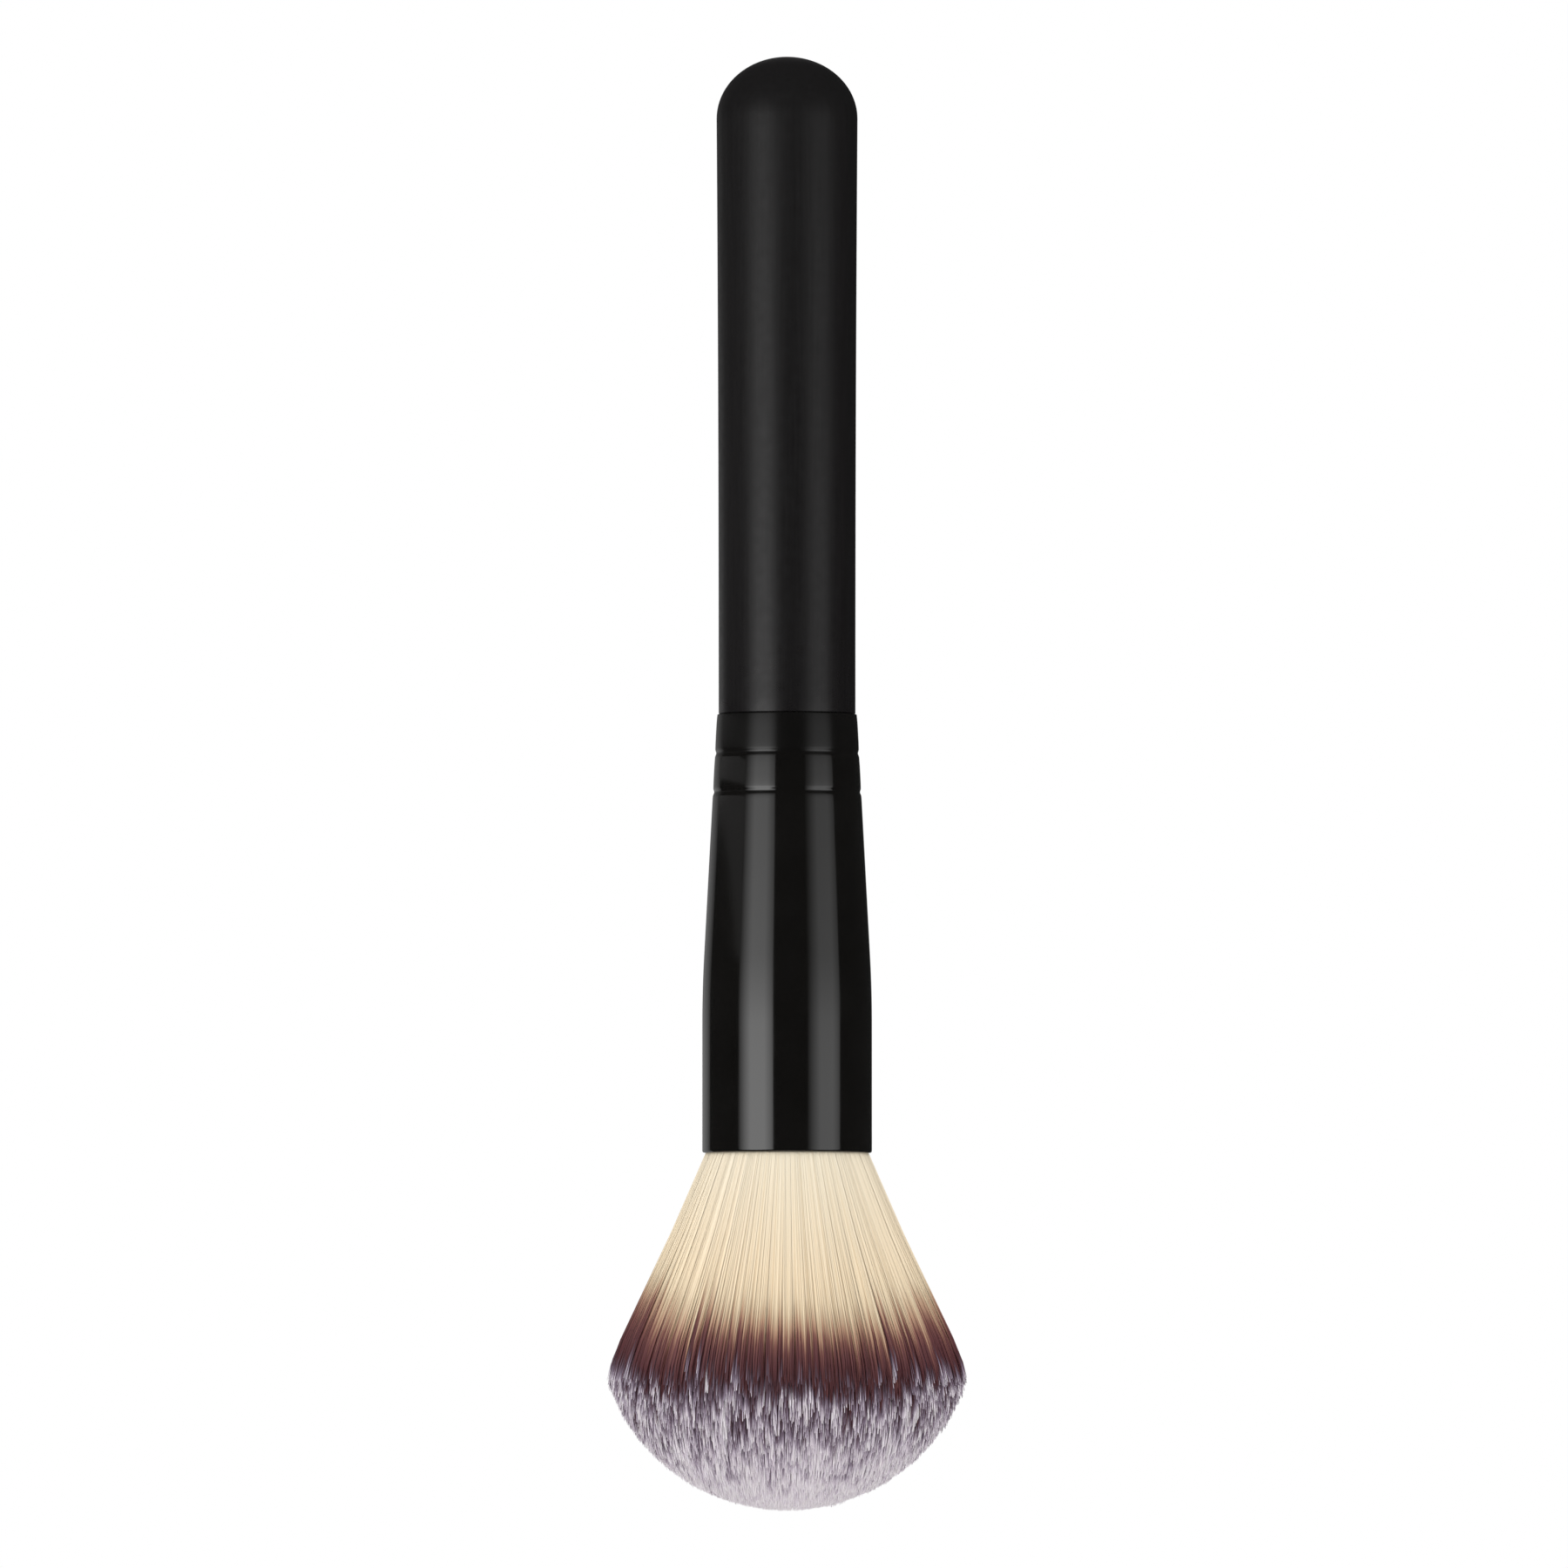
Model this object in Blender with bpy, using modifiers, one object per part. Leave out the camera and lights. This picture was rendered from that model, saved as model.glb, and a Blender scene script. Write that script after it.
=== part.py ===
"""Round powder brush for makeup, held by its handle with the bristles hanging down.

Metres, +Z up. The brush's axis is the Z axis, and the origin is in the middle of the
handle, where a hand or a drying stand holds it. Heights are worked out downwards from
the handle's domed end to the tips of the fibres.
"""

from math import cos, pi, radians, sin, sqrt

import bmesh
import bpy

# Fits between pieces
CLEARANCE = 0.0003
MERGE_DISTANCE = 0.00001

# Handle: turned wood with a domed end, a slight taper and a tenon for the ferrule
HANDLE_LENGTH = 0.0772
HANDLE_END_RADIUS = 0.0083
HANDLE_NECK_RADIUS = 0.00805
HANDLE_DOME_HEIGHT = 0.0073
SHOULDER_ROUND = 0.00025
TENON_LENGTH = 0.018
TENON_CHAMFER = 0.0008

# Ferrule: thin drawn tube, flared towards its mouth, crimped twice on the tenon
FERRULE_LENGTH = 0.0517
FERRULE_WALL = 0.0004
FERRULE_PROUD = 0.0002
FERRULE_FLARE = 0.00175
FERRULE_TAPER_LENGTH = 0.0325
FERRULE_BLEND_LENGTH = 0.008
CRIMP_COUNT = 2
CRIMP_SPACING = 0.0046
CRIMP_WIDTH = 0.0009
CRIMP_DEPTH = 0.00025

# Bristles: a domed head of fibres that fans out from a potted root, just inside the
# envelope that these sizes give
BRISTLE_WIDEST_RADIUS = 0.0213
BRISTLE_WIDEST_DEPTH = 0.0263
BRISTLE_DOME_HEIGHT = 0.0156
FLARE_BOW_SHARE = 0.12
ROOT_LENGTH = 0.013
ROOT_RECESS = 0.0001
STRAND_COUNT = 340
STRAND_SIDES = 3
STRAND_BURIED_LENGTH = 0.0004
STRAND_TIP_SCATTER = 0.0007
STRAND_ROOT_SHARE = 0.40
STRAND_BELLY_SHARE = 0.40
STRAND_TIP_SHARE = 0.14
STRAND_BEND_DEPTH_SHARE = 0.36
STRAND_BELLY_DEPTH_SHARE = 0.84

# Thread and adhesive inside the ferrule
BINDING_WIDTH = 0.003
BINDING_THICKNESS = 0.0009
BINDING_SET_BACK = 0.002
PLUG_THICKNESS = 0.006
PLUG_DISH = 0.0008
TENON_GLUE_LENGTH = 0.0055

# Facets
ROUND_STEPS = 48
DOME_STEPS = 12
BLEND_STEPS = 5
CRIMP_STEPS = 4
LIP_STEPS = 4
GAP_CUTS = 12
DOME_SEARCH_STEPS = 40
SHARP_ANGLE = radians(35)

# Heights worked out from the sizes above
HANDLE_TOP = HANDLE_LENGTH / 2
SHOULDER = HANDLE_TOP - HANDLE_LENGTH
FERRULE_REAR = SHOULDER - CLEARANCE
FERRULE_MOUTH = FERRULE_REAR - FERRULE_LENGTH
BRISTLE_TIP_DEPTH = BRISTLE_WIDEST_DEPTH + BRISTLE_DOME_HEIGHT
BRISTLE_TIP = FERRULE_MOUTH - BRISTLE_TIP_DEPTH

# Radii worked out from the sizes above
FERRULE_REAR_RADIUS = HANDLE_NECK_RADIUS + FERRULE_PROUD
FERRULE_MOUTH_RADIUS = FERRULE_REAR_RADIUS + FERRULE_FLARE
TENON_RADIUS = FERRULE_REAR_RADIUS - FERRULE_WALL - CLEARANCE
KNOT_RADIUS = FERRULE_MOUTH_RADIUS - FERRULE_WALL - CLEARANCE
DOME_RADIUS = (BRISTLE_WIDEST_RADIUS**2 + BRISTLE_DOME_HEIGHT**2) / (2 * BRISTLE_DOME_HEIGHT)


def clear_scene():
    """Remove the objects that a new Blender file starts with."""
    for obj in list(bpy.data.objects):
        bpy.data.objects.remove(obj, do_unlink=True)


def new_collection(name):
    """A collection in the scene."""
    collection = bpy.data.collections.new(name)
    bpy.context.scene.collection.children.link(collection)
    return collection


def linear(hex_colour):
    """A linear RGBA colour from an sRGB hex colour."""
    channels = [int(hex_colour[i : i + 2], 16) / 255 for i in (1, 3, 5)]
    return [c / 12.92 if c <= 0.04045 else ((c + 0.055) / 1.055) ** 2.4 for c in channels] + [1]


def finish(name, hex_colour, roughness, metallic=0, coat=0):
    """A material with the colour and gloss of one piece."""
    material = bpy.data.materials.new(name)
    material.use_nodes = True
    shader = material.node_tree.nodes["Principled BSDF"]
    shader.inputs["Base Color"].default_value = linear(hex_colour)
    shader.inputs["Roughness"].default_value = roughness
    shader.inputs["Metallic"].default_value = metallic
    shader.inputs["Coat Weight"].default_value = coat
    material.diffuse_color = linear(hex_colour)
    return material


def fibre_finish():
    """Three tones along the fibres: cream at the root, a burgundy band, lilac grey tips."""
    material = finish("dyed_fibre", "#e6d6b4", 0.55)
    tree = material.node_tree
    place = tree.nodes.new("ShaderNodeTexCoord")
    axes = tree.nodes.new("ShaderNodeSeparateXYZ")
    along = tree.nodes.new("ShaderNodeMapRange")
    tones = tree.nodes.new("ShaderNodeValToRGB")
    along.inputs["From Min"].default_value = FERRULE_MOUTH
    along.inputs["From Max"].default_value = BRISTLE_TIP
    tone_shares = {0.0: "#efe3c8", 0.42: "#e6d6b4", 0.52: "#6f4a48", 0.60: "#4a2a2e",
                   0.66: "#8d8394", 0.85: "#b5aabb", 1.0: "#cdc2cc"}
    ramp = tones.color_ramp.elements
    while len(ramp) < len(tone_shares):
        ramp.new(0.5)
    for stop, (share, hex_colour) in zip(ramp, tone_shares.items()):
        stop.position = share
        stop.color = linear(hex_colour)
    shader = tree.nodes["Principled BSDF"]
    tree.links.new(place.outputs["Object"], axes.inputs["Vector"])
    tree.links.new(axes.outputs["Z"], along.inputs["Value"])
    tree.links.new(along.outputs["Result"], tones.inputs["Fac"])
    tree.links.new(tones.outputs["Color"], shader.inputs["Base Color"])
    return material


def mesh_from(obj):
    """The object's evaluated mesh, its caps and seams welded."""
    shape = obj.evaluated_get(bpy.context.evaluated_depsgraph_get())
    mesh = bpy.data.meshes.new_from_object(shape)
    bm = bmesh.new()
    bm.from_mesh(mesh)
    bmesh.ops.remove_doubles(bm, verts=bm.verts, dist=MERGE_DISTANCE)
    bm.to_mesh(mesh)
    bm.free()
    return mesh


def smooth(mesh):
    """Shade round stretches smooth and keep corners crisp."""
    mesh.shade_smooth()
    mesh.set_sharp_from_angle(angle=SHARP_ANGLE)


def turned(name, outline, collection, material, closed=False):
    """Turn an outline of (radius, height) points, which runs down its outer side."""
    profile = bpy.data.meshes.new(name + "_outline")
    count = len(outline)
    edges = [(i, (i + 1) % count) for i in range(count if closed else count - 1)]
    profile.from_pydata([(r, 0, z) for r, z in outline], edges, [])
    obj = bpy.data.objects.new(name, profile)
    collection.objects.link(obj)
    screw = obj.modifiers.new("Turn", "SCREW")
    screw.angle = 2 * pi
    screw.steps = screw.render_steps = ROUND_STEPS
    screw.use_merge_vertices = True
    screw.merge_threshold = MERGE_DISTANCE
    obj.data = mesh_from(obj)
    obj.modifiers.clear()
    bpy.data.meshes.remove(profile)
    smooth(obj.data)
    obj.data.materials.append(material)
    return obj


def crimp_places():
    """Distances of the crimped grooves from the ferrule's rear edge."""
    return [CRIMP_SPACING * (i + 1) for i in range(CRIMP_COUNT)]


def crimp_pressed_in(distance):
    """How far a crimp presses the wall in, at a distance from the rear edge."""
    for place in crimp_places():
        off = abs(distance - place) / (CRIMP_WIDTH / 2)
        if off < 1:
            return CRIMP_DEPTH * (1 + cos(pi * off)) / 2
    return 0


def ferrule_radius(distance):
    """Outer radius of the uncrimped ferrule, at a distance from its rear edge."""
    slope = FERRULE_FLARE / FERRULE_TAPER_LENGTH
    start = FERRULE_TAPER_LENGTH - FERRULE_BLEND_LENGTH / 2
    if distance <= start:
        return FERRULE_REAR_RADIUS + slope * distance
    left = max(0, start + FERRULE_BLEND_LENGTH - distance)
    return FERRULE_MOUTH_RADIUS - slope * left**2 / (2 * FERRULE_BLEND_LENGTH)


def ferrule_bore(distance):
    """Inner radius of the uncrimped ferrule, at a distance from its rear edge."""
    return ferrule_radius(distance) - FERRULE_WALL


def crimp_stations():
    """Distances along the ferrule where the crimped wall bends."""
    half = CRIMP_WIDTH / 2
    return [place - half + 2 * half * i / CRIMP_STEPS for place in crimp_places()
            for i in range(CRIMP_STEPS + 1)]


def blend_stations():
    """Distances along the ferrule where the flare rounds into the straight mouth."""
    start = FERRULE_TAPER_LENGTH - FERRULE_BLEND_LENGTH / 2
    return [start + FERRULE_BLEND_LENGTH * i / BLEND_STEPS for i in range(BLEND_STEPS + 1)]


def rolled_edge(radius, distance, direction):
    """Half round over the wall's edge, from the outer side (1) or the inner side (-1)."""
    half = FERRULE_WALL / 2
    turns = [pi * i / LIP_STEPS for i in range(LIP_STEPS + 1)]
    return [(radius - half + direction * half * cos(a), distance + direction * half * sin(a))
            for a in turns]


def make_handle(collection):
    """Handle with its shoulder and tenon, dimpled where the ferrule is crimped."""
    outline = []
    for i in range(DOME_STEPS + 1):
        angle = pi / 2 * i / DOME_STEPS
        height = HANDLE_TOP - HANDLE_DOME_HEIGHT * (1 - cos(angle))
        outline.append((HANDLE_END_RADIUS * sin(angle), height))
    for i in range(LIP_STEPS + 1):
        angle = pi / 2 * i / LIP_STEPS
        drop = SHOULDER_ROUND * (1 - sin(angle))
        inset = SHOULDER_ROUND * (1 - cos(angle))
        outline.append((HANDLE_NECK_RADIUS - inset, SHOULDER + drop))
    outline.append((TENON_RADIUS, SHOULDER))
    for distance in crimp_stations():
        wall = ferrule_bore(distance) - crimp_pressed_in(distance) - CLEARANCE
        outline.append((min(TENON_RADIUS, wall), FERRULE_REAR - distance))
    tenon_end = SHOULDER - TENON_LENGTH
    outline.append((TENON_RADIUS, tenon_end + TENON_CHAMFER))
    outline.append((TENON_RADIUS - TENON_CHAMFER, tenon_end))
    outline.append((0, tenon_end))
    return turned("handle", outline, collection, finish("black_lacquer", "#1f1d1e", 0.42))


def make_ferrule(collection):
    """Ferrule of one wall thickness, with a rolled edge at both ends."""
    stations = crimp_stations() + blend_stations()
    outer = [(ferrule_radius(d) - crimp_pressed_in(d), d) for d in stations]
    inner = [(r - FERRULE_WALL, d) for r, d in reversed(outer)]
    half = FERRULE_WALL / 2
    mouth = rolled_edge(FERRULE_MOUTH_RADIUS, FERRULE_LENGTH - half, 1)
    rear = rolled_edge(FERRULE_REAR_RADIUS, half, -1)
    outline = outer + mouth + inner + rear
    outline = [(r, FERRULE_REAR - d) for r, d in outline]
    material = finish("black_anodised", "#0c0b0b", 0.12, coat=1)
    return turned("ferrule", outline, collection, material, closed=True)


def head_radius(depth):
    """Radius of the fan of fibres at a depth below the ferrule's mouth."""
    t = depth / BRISTLE_WIDEST_DEPTH
    bowed = (1 - FLARE_BOW_SHARE) * t + FLARE_BOW_SHARE * t**2
    return KNOT_RADIUS + (BRISTLE_WIDEST_RADIUS - KNOT_RADIUS) * bowed


def tip_depth(share):
    """Depth at which a fibre that starts at a share of the knot's radius meets the dome."""
    centre = BRISTLE_TIP_DEPTH - DOME_RADIUS
    low, high = 0, BRISTLE_TIP_DEPTH
    for _ in range(DOME_SEARCH_STEPS):
        middle = (low + high) / 2
        across = share * head_radius(middle)
        inside = across**2 + (middle - centre) ** 2 < DOME_RADIUS**2
        if inside or middle < centre:
            low = middle
        else:
            high = middle
    return low


def strand_paths():
    """Points and radii of every strand: rays of one fan, so that none cross."""
    golden_angle = pi * (3 - sqrt(5))
    spacing = KNOT_RADIUS / (sqrt(STRAND_COUNT / pi) + STRAND_ROOT_SHARE)
    paths = []
    for i in range(STRAND_COUNT):
        share = sqrt(i / (STRAND_COUNT - 1))
        turn = i * golden_angle
        tip = tip_depth(share) + STRAND_TIP_SCATTER * (i * golden_angle % 1 - 0.5)
        stations = [(-ROOT_RECESS - STRAND_BURIED_LENGTH, STRAND_ROOT_SHARE),
                    (tip * STRAND_BEND_DEPTH_SHARE, STRAND_BELLY_SHARE),
                    (tip * STRAND_BELLY_DEPTH_SHARE, STRAND_BELLY_SHARE),
                    (tip, STRAND_TIP_SHARE)]
        path = []
        for depth, width_share in stations:
            radius = width_share * spacing * head_radius(depth) / KNOT_RADIUS
            across = share * (head_radius(depth) - radius)
            point = (across * cos(turn), across * sin(turn), FERRULE_MOUTH - depth)
            path.append((point, radius))
        paths.append(path)
    return paths


def cut_across(path, height):
    """Centre and radius of a strand where a level plane cuts it, or None below its tip."""
    for (start, start_radius), (end, end_radius) in zip(path, path[1:]):
        if end[2] <= height <= start[2]:
            t = (start[2] - height) / (start[2] - end[2])
            return (start[0] + t * (end[0] - start[0]), start[1] + t * (end[1] - start[1]),
                    start_radius + t * (end_radius - start_radius))
    return None


def least_strand_gap(paths):
    """Smallest gap between two strands, measured on level cuts from mouth to tip."""
    gaps = []
    for cut in range(GAP_CUTS):
        height = FERRULE_MOUTH - BRISTLE_TIP_DEPTH * cut / GAP_CUTS
        rounds = [c for c in (cut_across(path, height) for path in paths) if c]
        for i, (xa, ya, radius_a) in enumerate(rounds):
            for xb, yb, radius_b in rounds[:i]:
                gaps.append(sqrt((xa - xb) ** 2 + (ya - yb) ** 2) - radius_a - radius_b)
    return min(gaps)


def make_strands(collection, material):
    """All strands as one mesh: straight runs with three sides and capped ends."""
    section = bpy.data.curves.new("strand_section", "CURVE")
    section.dimensions = "2D"
    ring = section.splines.new("POLY")
    ring.points.add(STRAND_SIDES - 1)
    for i, point in enumerate(ring.points):
        angle = -2 * pi * i / STRAND_SIDES
        point.co = (cos(angle), sin(angle), 0, 1)
    ring.use_cyclic_u = True
    section_object = bpy.data.objects.new("strand_section", section)
    collection.objects.link(section_object)

    fan = bpy.data.curves.new("strands", "CURVE")
    fan.dimensions = "3D"
    fan.bevel_mode = "OBJECT"
    fan.bevel_object = section_object
    fan.use_fill_caps = True
    paths = strand_paths()
    for path in paths:
        spline = fan.splines.new("POLY")
        spline.points.add(len(path) - 1)
        for point, (place, radius) in zip(spline.points, path):
            point.co = (*place, 1)
            point.radius = radius
    fan_object = bpy.data.objects.new("strands", fan)
    collection.objects.link(fan_object)
    bpy.context.view_layer.update()
    strands = bpy.data.objects.new("bristles", mesh_from(fan_object))
    strands.matrix_world = fan_object.matrix_world
    collection.objects.link(strands)
    strands.data.materials.clear()
    strands.data.materials.append(material)
    bpy.data.objects.remove(fan_object)
    bpy.data.objects.remove(section_object)
    print(f"least gap between strands: {1000 * least_strand_gap(paths):.3f} mm")
    return strands


def make_bristles(collection, helpers):
    """Strands fused to the potted root, which has a waist where the thread binds it."""
    material = fibre_finish()
    strands = make_strands(collection, material)
    front = FERRULE_MOUTH + ROOT_RECESS
    rear = FERRULE_MOUTH + ROOT_LENGTH
    waist = KNOT_RADIUS - BINDING_THICKNESS - CLEARANCE
    waist_top = rear - BINDING_SET_BACK
    waist_bottom = waist_top - BINDING_WIDTH - 2 * CLEARANCE
    outline = [(0, rear), (KNOT_RADIUS, rear), (KNOT_RADIUS, waist_top), (waist, waist_top),
               (waist, waist_bottom), (KNOT_RADIUS, waist_bottom), (KNOT_RADIUS, front),
               (0, front)]
    root = turned("bristle_root", outline, helpers, material)
    root.hide_render = True
    root.display_type = "WIRE"
    joined = strands.modifiers.new("Potted root", "BOOLEAN")
    joined.operation = "UNION"
    joined.solver = "EXACT"
    joined.object = root
    return strands


def make_root_binding(collection):
    """Ring of whipped thread in the waist of the root."""
    inner = KNOT_RADIUS - BINDING_THICKNESS
    top = FERRULE_MOUTH + ROOT_LENGTH - BINDING_SET_BACK - CLEARANCE
    bottom = top - BINDING_WIDTH
    outline = [(KNOT_RADIUS, top), (KNOT_RADIUS, bottom), (inner, bottom), (inner, top)]
    material = finish("waxed_thread", "#d9d2c2", 0.8)
    return turned("root_binding", outline, collection, material, closed=True)


def make_glue_plug(collection):
    """Epoxy behind the root, its free surface dished where it crept up the wall."""
    front = FERRULE_LENGTH - ROOT_LENGTH - CLEARANCE
    rear = front - PLUG_THICKNESS
    side = [rear + (front - rear) * i / BLEND_STEPS for i in range(BLEND_STEPS + 1)]
    outline = [(ferrule_bore(d) - CLEARANCE, FERRULE_REAR - d) for d in side]
    rim = outline[0][0]
    dish = [(rim * i / DOME_STEPS, FERRULE_REAR - rear - PLUG_DISH * (1 - (i / DOME_STEPS) ** 4))
            for i in range(DOME_STEPS)]
    outline = dish + outline + [(0, FERRULE_REAR - front)]
    return turned("glue_plug", outline, collection, finish("cured_epoxy", "#c9b487", 0.25))


def make_tenon_glue(collection):
    """Ring of adhesive that fills the wedge between the tenon and the flaring ferrule."""
    bottom = TENON_LENGTH - TENON_CHAMFER - CLEARANCE
    top = bottom - TENON_GLUE_LENGTH
    inner = TENON_RADIUS + CLEARANCE
    outline = [(ferrule_bore(d) - CLEARANCE, FERRULE_REAR - d) for d in (top, bottom)]
    outline += [(inner, FERRULE_REAR - bottom), (inner, FERRULE_REAR - top)]
    material = finish("cured_adhesive", "#d8d3c4", 0.3)
    return turned("tenon_glue", outline, collection, material, closed=True)


def main():
    """Build the brush, piece by piece, from the handle to the bristles."""
    clear_scene()
    brush = new_collection("makeup_brush")
    helpers = new_collection("helpers")
    make_handle(brush)
    make_ferrule(brush)
    make_tenon_glue(brush)
    make_glue_plug(brush)
    make_root_binding(brush)
    make_bristles(brush, helpers)
    bpy.context.view_layer.update()
    print(f"length over all: {1000 * (HANDLE_TOP - BRISTLE_TIP):.1f} mm")


main()
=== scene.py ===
# %% [markdown]
# A round powder brush, dressed for the camera.
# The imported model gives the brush's true size: a turned handle, a flared ferrule and a bundle
# of fibres, with thread and adhesive hidden inside. This lesson loads that model, keeps its
# places, and makes the surfaces that the eye sees: satin lacquer, black anodised metal and
# thirty-six thousand dyed fibres.

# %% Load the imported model
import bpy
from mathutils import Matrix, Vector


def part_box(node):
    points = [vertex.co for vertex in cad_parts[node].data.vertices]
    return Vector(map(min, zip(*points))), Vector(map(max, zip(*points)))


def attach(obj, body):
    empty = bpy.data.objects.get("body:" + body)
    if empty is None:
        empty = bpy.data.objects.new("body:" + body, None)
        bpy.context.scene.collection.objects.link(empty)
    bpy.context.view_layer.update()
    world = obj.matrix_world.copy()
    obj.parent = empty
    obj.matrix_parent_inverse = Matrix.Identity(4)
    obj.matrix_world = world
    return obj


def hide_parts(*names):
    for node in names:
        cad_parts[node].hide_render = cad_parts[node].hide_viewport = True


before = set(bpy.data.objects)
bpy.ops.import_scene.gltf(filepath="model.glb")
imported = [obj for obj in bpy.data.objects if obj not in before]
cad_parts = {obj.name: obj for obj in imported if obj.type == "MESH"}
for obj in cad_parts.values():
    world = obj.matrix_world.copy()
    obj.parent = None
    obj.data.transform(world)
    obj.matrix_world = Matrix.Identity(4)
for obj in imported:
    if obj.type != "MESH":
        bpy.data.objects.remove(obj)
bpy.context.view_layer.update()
print("nodes:", sorted(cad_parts))

# %% Import what the lesson needs
from math import atan2, cos, pi, radians, sin, sqrt

import bpy
import numpy as np
from mathutils import Vector
from mathutils.kdtree import KDTree

# %% [markdown]
# Places along the brush.
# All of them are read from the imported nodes, so that each new piece lies where the model says.
# The brush hangs along Z: the handle's dome is at the top and the tips are at the bottom.

# %% Read the places from the frame
MM = 0.001
HANDLE_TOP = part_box("handle")[1].z
FERRULE_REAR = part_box("ferrule")[1].z
FERRULE_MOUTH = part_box("ferrule")[0].z
FERRULE_LENGTH = FERRULE_REAR - FERRULE_MOUTH
MOUTH_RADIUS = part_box("ferrule")[1].x
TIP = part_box("bristles")[0].z
ROOT_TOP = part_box("bristles")[1].z
TENON_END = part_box("handle")[0].z
print(f"ferrule {1000 * FERRULE_LENGTH:.1f} mm long, mouth {2000 * MOUTH_RADIUS:.1f} mm across")

# %% [markdown]
# Colours and nodes.
# A colour is written as an sRGB hex value, as a paint program shows it, and turned to the
# linear light that Blender works in. One small function adds a node with its settings and
# links, so that each material below reads from top to bottom. A Mix node keeps one set of
# sockets for each kind of data, all with the same names, so they are picked by number.

# %% Helpers for colours and nodes
MIX_FACTOR = 0
MIX_VALUE_A = 2
MIX_VALUE_B = 3
MIX_VALUE_RESULT = 0
MIX_COLOUR_A = 6
MIX_COLOUR_B = 7
MIX_COLOUR_RESULT = 2


def linear(hex_colour):
    """A linear RGBA colour from an sRGB hex colour, by the standard's own formula."""
    channels = [int(hex_colour[i : i + 2], 16) / 255 for i in (1, 3, 5)]
    return [c / 12.92 if c <= 0.04045 else ((c + 0.055) / 1.055) ** 2.4 for c in channels] + [1]


def new_material(name, **sockets):
    """A material with one Principled shader, whose constant values are set on its sockets."""
    material = bpy.data.materials.new(name)
    material.use_nodes = True
    shader = material.node_tree.nodes["Principled BSDF"]
    for socket, value in sockets.items():
        shader.inputs[socket.replace("_", " ")].default_value = value
    return material, shader


def add_node(tree, kind, inputs=None, stops=None, **settings):
    """Add a node: its inputs are values or sockets to link from, its stops are a ramp's."""
    node = tree.nodes.new(kind)
    for field, value in settings.items():
        setattr(node, field, value)
    for socket, value in (inputs or {}).items():
        if isinstance(value, bpy.types.NodeSocket):
            tree.links.new(value, node.inputs[socket])
        else:
            node.inputs[socket].default_value = value
    if stops:
        ramp = node.color_ramp.elements
        while len(ramp) < len(stops):
            ramp.new(0.5)
        for stop, (place, colour) in zip(ramp, stops.items()):
            stop.position = place
            stop.color = linear(colour)
    return node


def per_mm(size):
    """The Scale of a noise texture whose spots are about this many millimetres across."""
    return 1 / (size * MM)


print(f"mid grey, #808080, is {linear('#808080')[0]:.3f} in linear light")

# %% [markdown]
# The camera.
# A product photograph of a slim object is taken with a long lens from a few metres away, so
# that both ends look equally large. The rims of the ferrule bulge upwards a little, which
# tells that the lens stands slightly lower than the brush and looks up at it. The focal length
# follows from the sensor's width, the distance and the width that fills the frame.

# %% Place the camera
CAMERA_DISTANCE = 3.0
CAMERA_ELEVATION = radians(-2.05)
FRAME_WIDTH = 184.5 * MM
FRAME_CENTRE = Vector((-0.36 * MM, 0, -47.1 * MM))
SENSOR_WIDTH_MM = 36
camera_data = bpy.data.cameras.new("long_lens")
camera_data.sensor_width = SENSOR_WIDTH_MM
camera_data.lens = SENSOR_WIDTH_MM * CAMERA_DISTANCE / FRAME_WIDTH
camera = bpy.data.objects.new("camera", camera_data)
bpy.context.scene.collection.objects.link(camera)
towards_camera = Vector((0, -cos(CAMERA_ELEVATION), sin(CAMERA_ELEVATION)))
camera.location = FRAME_CENTRE + CAMERA_DISTANCE * towards_camera
camera.rotation_euler = (-towards_camera).to_track_quat("-Z", "Y").to_euler()
bpy.context.scene.camera = camera
bpy.context.scene.view_settings.view_transform = "Standard"
print(f"lens {camera_data.lens:.0f} mm, camera at {[round(c, 3) for c in camera.location]}")

# %% [markdown]
# The lathe.
# A handle, a ferrule and a potted root are all turned shapes, so one helper serves them all.
# It works as by hand: a small plane is merged into one point, the point is extruded along the
# outline, and the outline is spun once round the axis. Spin leaves a double seam and may turn
# the faces inwards, so doubles are merged first and the normals recalculated after that.

# %% Turn an outline
MERGE_DISTANCE = 0.002 * MM
SHARP_ANGLE = radians(40)


def turn(name, outline, steps, closed=False):
    """Spin an outline of (radius, height) points round the Z axis into a new piece."""
    bpy.ops.object.select_all(action="DESELECT")
    (radius, height), *others = outline
    bpy.ops.mesh.primitive_plane_add(size=MM, location=(radius, 0, height))
    piece = bpy.context.object
    piece.name = piece.data.name = name
    bpy.ops.object.mode_set(mode="EDIT")
    bpy.ops.mesh.select_all(action="SELECT")
    bpy.ops.mesh.merge(type="CENTER")
    if closed:
        others.append((radius, height))
    for next_radius, next_height in others:
        step = (next_radius - radius, 0, next_height - height)
        bpy.ops.mesh.extrude_region_move(TRANSFORM_OT_translate={"value": step})
        radius, height = next_radius, next_height
    bpy.ops.mesh.select_all(action="SELECT")
    bpy.ops.mesh.remove_doubles(threshold=MERGE_DISTANCE)
    bpy.ops.mesh.spin(steps=steps, angle=2 * pi, center=(0, 0, 0), axis=(0, 0, 1))
    bpy.ops.mesh.select_all(action="SELECT")
    bpy.ops.mesh.remove_doubles(threshold=MERGE_DISTANCE)
    bpy.ops.mesh.normals_make_consistent(inside=False)
    bpy.ops.object.mode_set(mode="OBJECT")
    bpy.ops.object.transform_apply(location=True, rotation=True, scale=True)
    bpy.ops.object.shade_smooth_by_angle(angle=SHARP_ANGLE)
    print(f"{name}: {len(piece.data.vertices)} vertices, {len(piece.data.polygons)} faces")
    return piece


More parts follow.
